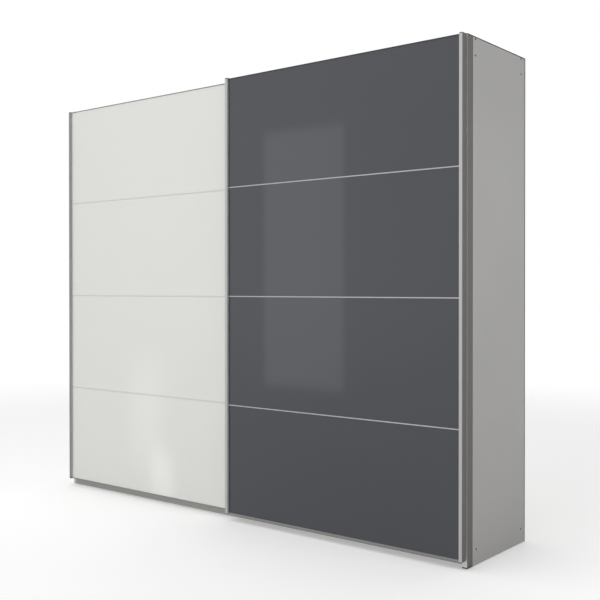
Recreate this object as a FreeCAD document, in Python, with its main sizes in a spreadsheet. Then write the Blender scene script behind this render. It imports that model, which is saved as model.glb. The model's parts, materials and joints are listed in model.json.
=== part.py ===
import FreeCAD, Part
import math
import os
import re

import Sketcher
from FreeCAD import Placement, Rotation, Vector

# Sliding door wardrobe, in millimetres. The origin is on the floor below the middle of the
# carcass, +X runs to the right along the front, +Y to the rear and +Z up.
# Two doors hang in front of the carcass on grooved wheels. The front door runs on the upper
# ledge of the running rail and the rear door on the lower one.

doc = FreeCAD.newDocument("sliding_door_wardrobe")

# ---------------------------------------------------------------- sizes

DRIVING = {
    "overall_width": 2710,
    "overall_height": 2300,
    "overall_depth": 620,
    "board": 22,
    "door_depth": 35,
    "door_side_gap": 4,
    "door_half_overlap": 10,
    "front_door_lift": 40,
    "front_door_drop": 5,
    "rear_door_gap": 3,
    "rear_door_lift": 40,
    "rear_door_drop": 10,
    "trim_gap": 5,
    "trim_width": 25,
    "trim_depth": 50,
    "trim_wall": 1.5,
    "trim_cap": 5,
    "overcut": 1,
    "glide_height": 3,
    "glide_radius": 9,
    "glide_inset": 24,
    "inner_recess": 6,
    "notch_play": 3,
    "plinth_height": 60,
    "plinth_thickness": 18,
    "plinth_inset": 20,
    "back_inset": 3,
    "back_thickness": 3,
    "groove_width": 3.6,
    "groove_depth": 7,
    "back_floor_gap": 40,
    "back_top_gap": 4,
    "sheet_clearance": 0.3,
    "strip_flange": 16,
    "strip_wall": 1.3,
    "back_seam_gap": 2.4,
    "stretcher_height": 60,
    "stretcher_thickness": 18,
    "rail_set_back": 45,
    "rail_wall": 3,
    "ledge_reach": 35,
    "lower_ledge_drop": 117,
    "upper_ledge_drop": 62,
    "rib_width": 4,
    "rib_height": 4,
    "track_set_back": 23,
    "end_plate": 6,
    "end_plate_reach": 34,
    "stop_length": 6,
    "stop_width": 12,
    "stop_height": 20,
    "stop_lift": 9,
    "lower_stop_inset": 28,
    "lower_stop_length": 15,
    "wheel_radius": 18,
    "running_radius": 15,
    "wheel_width": 10,
    "groove_half_width": 2.6,
    "groove_flare": 0.8,
    "axle_radius": 3,
    "axle_clearance": 0.05,
    "running_gap": 0.3,
    "hub_radius": 6,
    "hub_gap": 1,
    "axle_head_radius": 5,
    "axle_head": 1.5,
    "wheel_spacing": 80,
    "carriage_inset": 90,
    "carriage_length": 116,
    "carriage_plate": 4,
    "carriage_drop": 70,
    "carriage_bridge_drop": 2.5,
    "down_plate_gap": 3,
    "down_plate_length": 45.5,
    "rear_carriage_height": 52,
    "rear_carriage_lift": 5,
    "guide_depth": 30,
    "guide_wall": 2,
    "lower_chamber_floor": 28,
    "chamber_split": 43,
    "lower_slot_low": 31,
    "lower_slot_high": 40,
    "upper_slot_low": 47,
    "upper_slot_high": 56,
    "shoe_length": 60,
    "shoe_plate": 3,
    "shoe_tab": 40,
    "rear_shoe_tab": 24,
    "front_shoe_level": 34,
    "rear_shoe_level": 50,
    "shoe_block_depth": 20,
    "shoe_block_clearance": 1.5,
    "stile_face": 16,
    "stile_wall": 1.6,
    "face_recess": 11.2,
    "facing": 4,
    "backing": 18,
    "edge_lip": 5,
    "edge_wall": 1.6,
    "edge_rear_lip": 10,
    "panel_count": 4,
    "panel_play": 0.4,
    "divider_face": 5,
    "divider_proud": 1,
    "divider_web": 1.6,
    "shelf_top": 1972,
    "shelf_set_back": 60,
    "shelf_play": 1,
    "pin_radius": 2.5,
    "pin_hole_radius": 2.6,
    "pin_half_length": 8,
    "partition_pin_depth": 5,
    "pin_end_play": 0.5,
    "pin_front": -120,
    "pin_rear": 240,
    "tube_level": 1885,
    "tube_depth": 45,
    "tube_half_height": 15,
    "tube_half_width": 7.5,
    "tube_wall": 1.5,
    "tube_end_play": 1,
    "saddle_plate": 3,
    "saddle_reach": 15,
    "saddle_half_width": 14,
    "saddle_half_height": 28,
    "saddle_wall": 2.7,
    "hanger_half_length": 12,
    "bolt_head_radius": 4.8,
    "bolt_seat_radius": 5,
    "bolt_seat_depth": 3,
    "bolt_head": 2.8,
    "bolt_radius": 2.5,
    "bolt_hole_radius": 2.7,
    "bolt_reach": 50,
    "plate_bolt_reach": 27,
    "bolt_front": -198,
    "bolt_base_front": -186,
    "bolt_rear": 262,
    "upper_bolt_level": 2289,
    "lower_bolt_level": 2218,
}

DERIVED = {
    "outer_x": "overall_width / 2",
    "rear_y": "overall_depth / 2",
    "door_plane": "0 - overall_depth / 2",
    "inner_x": "outer_x - board",
    "half_board": "board / 2",
    "trim_front": "door_plane + door_depth + trim_gap",
    "carcass_front": "trim_front + trim_depth",
    "inner_front": "carcass_front + inner_recess",
    "back_front": "rear_y - back_inset - back_thickness",
    "back_rear": "rear_y - back_inset",
    "board_rear": "back_front - strip_wall - 2 * sheet_clearance",
    "top_under": "overall_height - board",
    "base_top": "plinth_height + board",
    "rail_rear": "carcass_front + rail_set_back",
    "rail_face": "rail_rear - rail_wall",
    "rail_front": "rail_face - ledge_reach",
    "rail_end": "inner_x - end_plate",
    "lower_ledge": "overall_height - lower_ledge_drop",
    "upper_ledge": "overall_height - upper_ledge_drop",
    "track_y": "carcass_front + track_set_back",
    "lower_rib_top": "lower_ledge + rail_wall + rib_height",
    "upper_rib_top": "upper_ledge + rail_wall + rib_height",
    "lower_axle": "lower_rib_top + running_gap + running_radius",
    "upper_axle": "upper_rib_top + running_gap + running_radius",
    "guide_rear": "carcass_front + guide_depth",
    "guide_front_inner": "carcass_front + guide_wall",
    "chamber_rear": "guide_rear - guide_wall",
    "door_reach": "outer_x - door_side_gap",
    "front_door_left": "0 - door_half_overlap",
    "front_door_right": "door_reach",
    "front_door_face": "door_plane",
    "front_door_bottom": "front_door_lift",
    "front_door_top": "overall_height - front_door_drop",
    "rear_door_left": "0 - door_reach",
    "rear_door_right": "door_half_overlap",
    "rear_door_face": "carcass_front - rear_door_gap - door_depth",
    "rear_door_bottom": "rear_door_lift",
    "rear_door_top": "overall_height - rear_door_drop",
    "front_door_back": "front_door_face + door_depth",
    "rear_door_back": "rear_door_face + door_depth",
    "shelf_under": "shelf_top - board",
    "shelf_front": "carcass_front + shelf_set_back",
    "back_seam": "inner_x / 2 + half_board / 2",
}

sheet = doc.addObject("Spreadsheet::Sheet", "Sizes")
for row, (name, value) in enumerate({**DRIVING, **DERIVED}.items(), start=1):
    sheet.set(f"A{row}", name)
    sheet.set(f"B{row}", str(value) if name in DRIVING else "=" + value)
    sheet.setAlias(f"B{row}", name)
doc.recompute()


def sized(text):
    """An expression in the sheet's own names, as another object has to write it."""
    return re.sub(r"[A-Za-z_]\w*", lambda word: "Sizes." + word.group(0), str(text))


# ---------------------------------------------------------------- shapes

AXES = {
    "x": Rotation(Vector(0, 1, 0), 90),
    "y": Rotation(Vector(1, 0, 0), -90),
    "z": Rotation(),
}


def block(name, x, y, z):
    """A board or bar between three pairs of planes."""
    box = doc.addObject("Part::Box", name)
    for side, letter, (low, high) in (("Length", "x", x), ("Width", "y", y), ("Height", "z", z)):
        box.setExpression(side, sized(f"({high}) - ({low})"))
        box.setExpression("Placement.Base." + letter, sized(low))
    return box


def rod(name, along, start, end, centre, radius):
    """A round bar along one axis, from start to end. centre gives its other two places in order."""
    bar = doc.addObject("Part::Cylinder", name)
    bar.Placement = Placement(Vector(), AXES[along])
    bar.setExpression("Radius", sized(radius))
    bar.setExpression("Height", sized(f"({end}) - ({start})"))
    others = [letter for letter in "xyz" if letter != along]
    bar.setExpression("Placement.Base." + along, sized(start))
    for letter, place in zip(others, centre):
        bar.setExpression("Placement.Base." + letter, sized(place))
    return bar


def together(name, pieces):
    """Separate identical pieces that share one node."""
    shared = doc.addObject("Part::Compound", name)
    shared.Links = pieces
    return shared


def joined(name, pieces):
    """One solid from pieces that meet."""
    whole = doc.addObject("Part::MultiFuse", name)
    whole.Shapes = pieces
    return whole


def less(name, base, tools):
    """base with the tools taken away."""
    rest = doc.addObject("Part::Cut", name)
    rest.Base = base
    rest.Tool = together(name + "_tools", tools) if len(tools) > 1 else tools[0]
    return rest


def sketch_on(body, role, outlines):
    """A sketch on one of the body's own planes, each corner held at two sheet expressions."""
    sketch = body.newObject("Sketcher::SketchObject", body.Name + "_outline")
    plane = next(item for item in body.Origin.OriginFeatures if item.Role == role)
    sketch.AttachmentSupport = [(plane, "")]
    sketch.MapMode = "FlatFace"
    for corners in outlines:
        first = sketch.GeometryCount
        count = len(corners)
        ring = [Vector(math.cos(turn), math.sin(turn), 0)
                for turn in (math.tau * step / count for step in range(count))]
        for step in range(count):
            sketch.addGeometry(Part.LineSegment(ring[step], ring[(step + 1) % count]), False)
        for step, (across, up) in enumerate(corners):
            line = first + step
            following = first + (step + 1) % count
            sketch.addConstraint(Sketcher.Constraint("Coincident", line, 2, following, 1))
            for kind, place in (("DistanceX", across), ("DistanceY", up)):
                held = sketch.addConstraint(Sketcher.Constraint(kind, -1, 1, line, 1, 1.0))
                sketch.setExpression(f"Constraints[{held}]", sized(place))
    return sketch


def extrusion(name, along, start, end, outlines):
    """A profile of constant section: along x the outline is (y, z), along z it is (x, y)."""
    body = doc.addObject("PartDesign::Body", name)
    sketch = sketch_on(body, {"x": "YZ_Plane", "z": "XY_Plane"}[along], outlines)
    pad = body.newObject("PartDesign::Pad", name + "_length")
    pad.Profile = sketch
    pad.setExpression("Length", sized(f"({end}) - ({start})"))
    body.setExpression("Placement.Base." + along, sized(start))
    return body


nodes = []


def node(piece, label):
    """Names a finished piece and keeps it for the export."""
    piece.Label = label
    nodes.append(piece)
    return piece


# ---------------------------------------------------------------- carcass boards

LOWER, UPPER = "lower_bolt_level", "upper_bolt_level"
BASE_LEVEL = "plinth_height + half_board"
BOLTS = {
    "rail_top": ("bolt_front", UPPER, "plate_bolt_reach"),
    "rail_low": ("bolt_front", LOWER, "plate_bolt_reach"),
    "top": ("bolt_rear", UPPER, "bolt_reach"),
    "stretcher": ("bolt_rear", LOWER, "bolt_reach"),
    "base_front": ("bolt_base_front", BASE_LEVEL, "bolt_reach"),
    "base_rear": ("bolt_rear", BASE_LEVEL, "bolt_reach"),
}


def along_side(side, near, far):
    """Start and end in x of something that runs from near to far, measured out from the middle."""
    return (f"0 - ({far})", f"0 - ({near})") if side == "left" else (near, far)


def bolt_holes(name, side):
    """The clearance holes for one side's connector bolts, and the seats for their heads."""
    holes = []
    for place, (depth, level, reach) in BOLTS.items():
        through = along_side(side, f"outer_x - {reach} - overcut", "outer_x + overcut")
        seat = along_side(side, "outer_x - bolt_seat_depth", "outer_x + overcut")
        hole = rod(f"{name}_{place}_hole", "x", *through, (depth, level), "bolt_hole_radius")
        seating = rod(f"{name}_{place}_seat", "x", *seat, (depth, level), "bolt_seat_radius")
        holes.append(joined(f"{name}_{place}_bore", [hole, seating]))
    return holes


def pin_holes(name, side, wall):
    """The blind holes that hold one wall's two shelf pins."""
    reach = "pin_half_length" if wall == "inner_x" else "partition_pin_depth"
    into = (f"{wall} - overcut", f"{wall} + {reach} + pin_end_play")
    if wall == "half_board":
        into = (f"{wall} - {reach} - pin_end_play", f"{wall} + overcut")
    return [
        rod(f"{name}_{side}_{place}_pin_hole", "x", *along_side(side, *into),
            (place, "shelf_under - pin_radius"), "pin_hole_radius")
        for place in ("pin_front", "pin_rear")
    ]


def back_groove(name, side, wall, outward):
    """The groove in one wall that takes the edge of a back sheet."""
    low, high = (f"{wall} - overcut", f"{wall} + groove_depth")
    if outward < 0:
        low, high = (f"{wall} - groove_depth", f"{wall} + overcut")
    depth = ("back_front - sheet_clearance", "back_front - sheet_clearance + groove_width")
    return block(f"{name}_{side}_groove", along_side(side, low, high), depth,
                 ("0", "overall_height + overcut"))


def side_panel(side):
    name = "side_panel_" + side
    board = block(name + "_board", along_side(side, "inner_x", "outer_x"),
                  ("carcass_front", "rear_y"), ("glide_height", "overall_height"))
    cuts = [back_groove(name, side, "inner_x", 1)]
    cuts += bolt_holes(name, side) + pin_holes(name, side, "inner_x")
    node(less(name, board, cuts), name)


def middle_partition():
    name = "middle_partition"
    board = block(name + "_board", ("0 - half_board", "half_board"),
                  ("inner_front", "rear_y"), ("glide_height", "overall_height"))
    across = ("0 - half_board - overcut", "half_board + overcut")
    cuts = [
        block(name + "_rail_notch", across, ("inner_front - overcut", "rail_rear"),
              ("lower_ledge - notch_play", "overall_height + overcut")),
        block(name + "_guide_notch", across, ("inner_front - overcut", "guide_rear"),
              ("0", "plinth_height")),
    ]
    for side in ("left", "right"):
        cuts.append(back_groove(name, side, "half_board", -1))
        cuts += pin_holes(name, side, "half_board")
    node(less(name, board, cuts), name)


def bolted_board(name, side, y, z, places):
    """A level board between a side and the partition, with end holes for its bolts."""
    board = block(name + "_board", along_side(side, "half_board", "inner_x"), y, z)
    holes = []
    for place in places:
        depth, level, reach = BOLTS[place]
        holes.append(rod(f"{name}_{place}_end_hole", "x",
                         *along_side(side, f"outer_x - {reach} - overcut", "inner_x + overcut"),
                         (depth, level), "bolt_hole_radius"))
    return less(name, board, holes)


def level_boards():
    plinths = []
    stretchers = []
    for side in ("left", "right"):
        top = bolted_board("top_panel_" + side, side, ("rail_rear", "board_rear"),
                           ("top_under", "overall_height"), ["top"])
        node(top, "top_panel_" + side)
        base = bolted_board("base_panel_" + side, side, ("inner_front", "board_rear"),
                            ("plinth_height", "base_top"), ["base_front", "base_rear"])
        node(base, "base_panel_" + side)
        plinths.append(block("rear_plinth_" + side, along_side(side, "half_board", "inner_x"),
                             ("rear_y - plinth_inset - plinth_thickness", "rear_y - plinth_inset"),
                             ("glide_height", "plinth_height")))
        stretchers.append(bolted_board(
            "rear_stretcher_" + side, side,
            ("bolt_rear - stretcher_thickness / 2", "bolt_rear + stretcher_thickness / 2"),
            (f"{LOWER} - stretcher_height / 2", f"{LOWER} + stretcher_height / 2"),
            ["stretcher"]))
    node(together("rear_plinths", plinths), "rear_plinths")
    node(together("rear_stretchers", stretchers), "rear_stretchers")


def backs():
    """Four thin back sheets, two to a compartment, and the strips that join each two."""
    height = ("back_floor_gap", "overall_height - back_top_gap")
    depth = ("back_front", "back_rear")
    inner_edge = "half_board - groove_depth + sheet_clearance"
    outer_edge = "inner_x + groove_depth - sheet_clearance"
    seam = ("back_seam - back_seam_gap / 2", "back_seam + back_seam_gap / 2")
    spans = [("left", seam[1], outer_edge), ("left", inner_edge, seam[0]),
             ("right", inner_edge, seam[0]), ("right", seam[1], outer_edge)]
    for number, (side, near, far) in enumerate(spans, start=1):
        name = f"back_sheet_{number}"
        node(block(name, along_side(side, near, far), depth, height), name)
    strips = []
    for side, turn in (("left", "0 - back_seam"), ("right", "back_seam")):
        flange = (f"{turn} - strip_flange / 2", f"{turn} + strip_flange / 2")
        web = (f"{turn} - strip_wall / 2", f"{turn} + strip_wall / 2")
        front = ("back_front - sheet_clearance - strip_wall", "back_front - sheet_clearance")
        rear = ("back_rear + sheet_clearance", "back_rear + sheet_clearance + strip_wall")
        strips.append(joined("back_strip_" + side, [
            block(f"back_strip_{side}_front", flange, front, height),
            block(f"back_strip_{side}_web", web, (front[1], rear[0]), height),
            block(f"back_strip_{side}_rear", flange, rear, height),
        ]))
    node(together("back_joint_strips", strips), "back_joint_strips")


# ---------------------------------------------------------------- rails and trim

def running_rail():
    """One extrusion: a back web with two ledges, each with a rib for the grooved wheels."""
    rib = ("track_y - rib_width / 2", "track_y + rib_width / 2")
    outline = [("rail_rear", "lower_ledge"), ("rail_rear", "overall_height"),
               ("rail_face", "overall_height")]
    for ledge in ("upper_ledge", "lower_ledge"):
        upper_side = f"{ledge} + rail_wall"
        outline += [("rail_face", upper_side), (rib[1], upper_side),
                    (rib[1], upper_side + " + rib_height"), (rib[0], upper_side + " + rib_height"),
                    (rib[0], upper_side), ("rail_front", upper_side), ("rail_front", ledge)]
        if ledge == "upper_ledge":
            outline.append(("rail_face", ledge))
    node(extrusion("running_rail", "x", "0 - rail_end", "rail_end", [outline]), "running_rail")


def rail_end_plates():
    """The plates that carry the running rail on the two sides, each tapped for two bolts."""
    plates = []
    for side in ("left", "right"):
        name = "end_plate_" + side
        plate = block(name + "_blank", along_side(side, "rail_end", "inner_x"),
                      ("rail_face - end_plate_reach", "rail_face"), ("lower_ledge", "overall_height"))
        through = along_side(side, "rail_end - overcut", "inner_x + overcut")
        holes = [rod(f"{name}_{place}_hole", "x", *through, BOLTS[place][:2], "bolt_hole_radius")
                 for place in ("rail_top", "rail_low")]
        plates.append(less(name, plate, holes))
    node(together("rail_end_plates", plates), "rail_end_plates")


def end_stops():
    """Rubber stops: two on the upper ledge and two on the lower one."""
    depth = ("track_y - stop_width / 2", "track_y + stop_width / 2")
    buffer_span = ("rail_end - stop_length", "rail_end")
    clamp_span = ("inner_x - lower_stop_inset - lower_stop_length", "inner_x - lower_stop_inset")
    stops = []
    for name, side, span, ledge in (
            ("upper_left", "left", buffer_span, "upper_ledge"),
            ("upper_right", "right", buffer_span, "upper_ledge"),
            ("lower_left", "left", buffer_span, "lower_ledge"),
            ("lower_right", "right", clamp_span, "lower_ledge")):
        foot = f"{ledge} + rail_wall + stop_lift"
        stops.append(block(f"stop_{name}", along_side(side, *span), depth,
                           (foot, foot + " + stop_height")))
    clamp_foot = block("stop_lower_right_foot", clamp_span,
                       ("track_y - stop_width / 2", "track_y + stop_width / 2"),
                       ("lower_rib_top", "lower_ledge + rail_wall + stop_lift"))
    stops[-1] = joined("stop_lower_right_clamp", [stops[-1], clamp_foot])
    node(together("end_stops", stops), "end_stops")


def guide_rail():
    """The floor-level extrusion: a plain front over a hollow foot, and two slotted chambers."""
    front, skin = "carcass_front", "guide_front_inner"
    rear, inner = "guide_rear", "chamber_rear"
    top = "plinth_height"
    outline = [
        (front, "glide_height"), (rear, "glide_height"), (rear, top), (front, top),
        (front, "upper_slot_high"), (skin, "upper_slot_high"), (skin, top + " - guide_wall"),
        (inner, top + " - guide_wall"), (inner, "chamber_split + guide_wall"),
        (skin, "chamber_split + guide_wall"), (skin, "upper_slot_low"), (front, "upper_slot_low"),
        (front, "lower_slot_high"), (skin, "lower_slot_high"), (skin, "chamber_split"),
        (inner, "chamber_split"), (inner, "lower_chamber_floor"), (skin, "lower_chamber_floor"),
        (skin, "lower_slot_low"), (front, "lower_slot_low"),
    ]
    foot_top = "lower_chamber_floor - guide_wall"
    foot_floor = "glide_height + guide_wall"
    hollow = [(skin, foot_floor), (inner, foot_floor), (inner, foot_top), (skin, foot_top)]
    node(extrusion("guide_rail", "x", "0 - inner_x", "inner_x", [outline, hollow]), "guide_rail")


def rectangle(x, y):
    return [(x[0], y[0]), (x[1], y[0]), (x[1], y[1]), (x[0], y[1])]


def side_trim():
    """The hollow profile that closes the gap between the right side and the front door."""
    x = ("outer_x - trim_width", "outer_x")
    y = ("trim_front", "carcass_front")
    inside_x = (f"{x[0]} + trim_wall", f"{x[1]} - trim_wall")
    inside_y = (f"{y[0]} + trim_wall", f"{y[1]} - trim_wall")
    low = "glide_height + trim_cap"
    high = "overall_height - trim_cap"
    node(extrusion("side_trim", "z", low, high, [rectangle(x, y), rectangle(inside_x, inside_y)]),
         "side_trim")
    caps = [block("side_trim_cap_low", x, y, ("glide_height", low)),
            block("side_trim_cap_high", x, y, (high, "overall_height"))]
    node(together("side_trim_caps", caps), "side_trim_caps")


# ---------------------------------------------------------------- fittings inside

def oval_bar(name, side, near, far, half_height, half_width):
    """A bar of flat-sided oval section along x, centred on the hanging rail's line."""
    flat = f"{half_height} - ({half_width})"
    ends = along_side(side, near, far)
    middle = block(name + "_middle", ends,
                   (f"tube_depth - ({half_width})", f"tube_depth + {half_width}"),
                   (f"tube_level - ({flat})", f"tube_level + {flat}"))
    rounds = [rod(f"{name}_round_{place}", "x", *ends, ("tube_depth", f"tube_level {sign} ({flat})"),
                  half_width) for place, sign in (("low", "-"), ("high", "+"))]
    return joined(name, [middle, *rounds])


def saddle(name, side, wall, turn):
    """A wall plate with a cradle that the hanging rail drops into. turn is its way out from wall."""
    def reach(distance):
        near, far = (wall, f"{wall} + {distance}") if turn > 0 else (f"{wall} - {distance}", wall)
        return along_side(side, near, far)

    level = "tube_level - tube_half_height - shelf_play / 2"
    lip = "tube_half_width + shelf_play / 2"
    plate = block(name + "_plate", reach("saddle_plate"),
                  ("tube_depth - saddle_half_width", "tube_depth + saddle_half_width"),
                  ("tube_level - saddle_half_height", "tube_level + saddle_half_height"))
    cradle = block(name + "_cradle", reach("saddle_reach"),
                   (f"tube_depth - {lip} - saddle_wall", f"tube_depth + {lip} + saddle_wall"),
                   (f"{level} - saddle_wall", level))
    lips = [block(f"{name}_lip_{place}", reach("saddle_reach"),
                  (low, f"{low} + saddle_wall"), (level, "tube_level"))
            for place, low in (("front", f"tube_depth - ({lip}) - saddle_wall"),
                               ("rear", f"tube_depth + {lip}"))]
    return joined(name, [plate, cradle, *lips])


def hanger(name, side):
    """The strap that holds the middle of a hanging rail under its shelf."""
    middle = "(inner_x + half_board) / 2"
    x = along_side(side, f"{middle} - hanger_half_length", f"{middle} + hanger_half_length")
    lip = "tube_half_width + shelf_play / 2"
    level = "tube_level - tube_half_height - shelf_play / 2"
    foot = block(name + "_foot", x,
                 ("tube_depth - 2 * saddle_half_width", "tube_depth + saddle_half_width"),
                 ("shelf_under - saddle_plate", "shelf_under"))
    strap = block(name + "_strap", x, (f"tube_depth - ({lip}) - saddle_wall", f"tube_depth - ({lip})"),
                  (level, "shelf_under"))
    cradle = block(name + "_cradle", x,
                   (f"tube_depth - ({lip}) - saddle_wall", f"tube_depth + {lip} + saddle_wall"),
                   (f"{level} - saddle_wall", level))
    lip_up = block(name + "_lip", x, (f"tube_depth + {lip}", f"tube_depth + {lip} + saddle_wall"),
                   (level, "tube_level - tube_half_width"))
    return joined(name, [foot, strap, cradle, lip_up])


def interior():
    """Each compartment's shelf, its pins, and the hanging rail with its three supports."""
    pins = []
    supports = []
    for side in ("left", "right"):
        node(block("hat_shelf_" + side,
                   along_side(side, "half_board + shelf_play", "inner_x - shelf_play"),
                   ("shelf_front", "board_rear"), ("shelf_under", "shelf_top")),
             "hat_shelf_" + side)
        near = "half_board + saddle_plate + tube_end_play"
        far = "inner_x - saddle_plate - tube_end_play"
        tube = oval_bar("tube_outer_" + side, side, near, far, "tube_half_height", "tube_half_width")
        core = oval_bar("tube_core_" + side, side, near + " - overcut", far + " + overcut",
                        "(tube_half_height - tube_wall)", "(tube_half_width - tube_wall)")
        node(less("hanging_rail_" + side, tube, [core]), "hanging_rail_" + side)
        supports += [saddle(f"saddle_{side}_inner", side, "half_board", 1),
                     saddle(f"saddle_{side}_outer", side, "inner_x", -1),
                     hanger("hanger_" + side, side)]
        for wall, low, high in (
                ("outer", "inner_x - pin_half_length", "inner_x + pin_half_length"),
                ("inner", "half_board - partition_pin_depth", "half_board + pin_half_length")):
            for place in ("pin_front", "pin_rear"):
                pins.append(rod(f"{place}_{side}_{wall}", "x", *along_side(side, low, high),
                                (place, "shelf_under - pin_radius"), "pin_radius"))
    node(together("shelf_pins", pins), "shelf_pins")
    node(together("hanging_rail_supports", supports), "hanging_rail_supports")


def connector_bolts():
    """Six connector bolts a side, their heads just below the outer faces."""
    bolts = []
    for side in ("left", "right"):
        for place, (depth, level, reach) in BOLTS.items():
            face = "outer_x - bolt_seat_depth + bolt_head"
            head = rod(f"bolt_{side}_{place}_head", "x",
                       *along_side(side, "outer_x - bolt_seat_depth", face), (depth, level),
                       "bolt_head_radius")
            shank = rod(f"bolt_{side}_{place}_shank", "x",
                        *along_side(side, f"outer_x - {reach}", "outer_x - bolt_seat_depth"),
                        (depth, level), "bolt_radius")
            bolts.append(joined(f"bolt_{side}_{place}", [head, shank]))
    node(together("connector_bolts", bolts), "connector_bolts")


def floor_glides():
    """Round glides under the sides, the partition, the guide rail and the rear plinths."""
    front = "carcass_front + guide_depth / 2"
    rear = "rear_y - plinth_inset - plinth_thickness / 2"
    quarter = "inner_x / 2"
    side_line = "inner_x + half_board"
    spots = []
    for place in (f"0 - ({side_line})", side_line):
        spots += [(place, "carcass_front + glide_inset"), (place, "tube_depth"),
                  (place, "rear_y - glide_inset")]
    spots += [("0", "tube_depth"), ("0", "rear_y - glide_inset")]
    for place in (f"0 - {quarter}", "0", quarter):
        spots.append((place, front))
    spots += [(f"0 - {quarter}", rear), (quarter, rear)]
    glides = [rod(f"floor_glide_{number}", "z", "0", "glide_height", spot, "glide_radius")
              for number, spot in enumerate(spots, start=1)]
    node(together("floor_glides", glides), "floor_glides")


# ---------------------------------------------------------------- doors

def stile(door, side):
    """The grip profile at a door's edge: a boxed front and a channel behind it for the panels."""
    edge = f"{door}_{side}"
    sign = "+" if side == "left" else "-"
    face = door + "_face"
    back = door + "_back"

    def corner(inward, y):
        return (f"{edge} {sign} ({inward})", y)

    box_back = f"{face} + face_recess - panel_play / 2"
    outline = [corner(inward, y) for inward, y in (
        ("0", face), ("stile_face", face), ("stile_face", box_back), ("stile_wall", box_back),
        ("stile_wall", f"{back} - stile_wall"), ("stile_face", f"{back} - stile_wall"),
        ("stile_face", back), ("0", back))]
    hollow = [corner(inward, y) for inward, y in (
        ("stile_wall", f"{face} + stile_wall"),
        ("stile_face - stile_wall", f"{face} + stile_wall"),
        ("stile_face - stile_wall", f"{box_back} - stile_wall"),
        ("stile_wall", f"{box_back} - stile_wall"))]
    name = f"{door}_stile_{side}"
    node(extrusion(name, "z", door + "_bottom", door + "_top", [outline, hollow]), name)


def edge_profile(door, end):
    """The channel along a door's top or bottom edge, between the two stiles."""
    edge = f"{door}_{end}"
    sign = "+" if end == "bottom" else "-"
    lip_front = f"{door}_face + face_recess - panel_play / 2 - edge_wall"
    lip_back = f"{door}_face + face_recess - panel_play / 2"
    back = door + "_back"
    outline = [(y, f"{edge} {sign} ({inward})") for y, inward in (
        (lip_front, "0"), (back, "0"), (back, "edge_rear_lip"), (f"{back} - edge_wall", "edge_rear_lip"),
        (f"{back} - edge_wall", "edge_wall"), (lip_back, "edge_wall"), (lip_back, "edge_lip"),
        (lip_front, "edge_lip"))]
    name = f"{door}_{end}_profile"
    node(extrusion(name, "x", f"{door}_left + stile_face", f"{door}_right - stile_face", [outline]),
         name)


def door_panels(door):
    """The backing board, the equal facing panels on it, and the strips between them."""
    x = (f"{door}_left + stile_wall + panel_play", f"{door}_right - stile_wall - panel_play")
    low = f"{door}_bottom + edge_wall + panel_play"
    high = f"{door}_top - edge_wall - panel_play"
    facing_y = (f"{door}_face + face_recess", f"{door}_face + face_recess + facing")
    node(block(door + "_backing_board", x, (facing_y[1], f"{facing_y[1]} + backing"), (low, high)),
         door + "_backing_board")
    rise = f"({door}_top - {door}_bottom) / panel_count"
    joints = [f"{door}_bottom + {rise} * {number}" for number in range(1, DRIVING["panel_count"])]
    lows = [low] + [f"{joint} + divider_web / 2 + panel_play / 2" for joint in joints]
    highs = [f"{joint} - divider_web / 2 - panel_play / 2" for joint in joints] + [high]
    for number, (bottom, top) in enumerate(zip(lows, highs), start=1):
        name = f"{door}_panel_{number}"
        node(block(name, x, facing_y, (bottom, top)), name)
    strips = []
    between = (f"{door}_left + stile_face + panel_play / 2", f"{door}_right - stile_face - panel_play / 2")
    for number, joint in enumerate(joints, start=1):
        name = f"{door}_divider_{number}"
        flange = block(name + "_flange", between,
                       (f"{facing_y[0]} - divider_proud", facing_y[0]),
                       (f"{joint} - divider_face / 2", f"{joint} + divider_face / 2"))
        web = block(name + "_web", between, facing_y,
                    (f"{joint} - divider_web / 2", f"{joint} + divider_web / 2"))
        strips.append(joined(name, [flange, web]))
    node(together(door + "_dividers", strips), door + "_dividers")


def carriage_spots(door):
    """The middles of a door's two carriages."""
    return {"left": f"{door}_left + carriage_inset", "right": f"{door}_right - carriage_inset"}


def wheel_spots(door):
    """The axle places of a door's four wheels, from left to right."""
    return [f"{middle} {sign} wheel_spacing / 2"
            for middle in carriage_spots(door).values() for sign in ("-", "+")]


def axles(name, middle, level, plate_rear):
    """Two axles with their hubs and heads, standing out from a carriage's plate to the rear."""
    wheel_face = "track_y - wheel_width / 2"
    wheel_back = "track_y + wheel_width / 2"
    pieces = []
    for number, sign in enumerate("-+", start=1):
        centre = (f"{middle} {sign} wheel_spacing / 2", level)
        pieces += [
            rod(f"{name}_hub_{number}", "y", plate_rear + " - overcut", f"{wheel_face} - hub_gap",
                centre, "hub_radius"),
            rod(f"{name}_axle_{number}", "y", plate_rear + " - overcut",
                f"{wheel_back} + hub_gap + axle_head", centre, "axle_radius"),
            rod(f"{name}_head_{number}", "y", f"{wheel_back} + hub_gap",
                f"{wheel_back} + hub_gap + axle_head", centre, "axle_head_radius"),
        ]
    return pieces


def front_carriage(side, middle):
    """A bent steel bracket: up the front door's back, over the rear door, down to the wheels."""
    name = "front_door_carriage_" + side
    x = (f"{middle} - carriage_length / 2", f"{middle} + carriage_length / 2")
    bridge_top = "overall_height - carriage_bridge_drop"
    bridge_under = f"{bridge_top} - carriage_plate"
    down_rear = "track_y - wheel_width / 2 - down_plate_gap"
    down_front = f"{down_rear} - carriage_plate"
    return joined(name, [
        block(name + "_door_plate", x, ("front_door_back", "front_door_back + carriage_plate"),
              (f"{bridge_top} - carriage_drop", bridge_top)),
        block(name + "_bridge", x, ("front_door_back", down_rear), (bridge_under, bridge_top)),
        block(name + "_down_plate", x, (down_front, down_rear),
              (f"{bridge_top} - down_plate_length", bridge_top)),
        *axles(name, middle, "upper_axle", down_rear),
    ])


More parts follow.
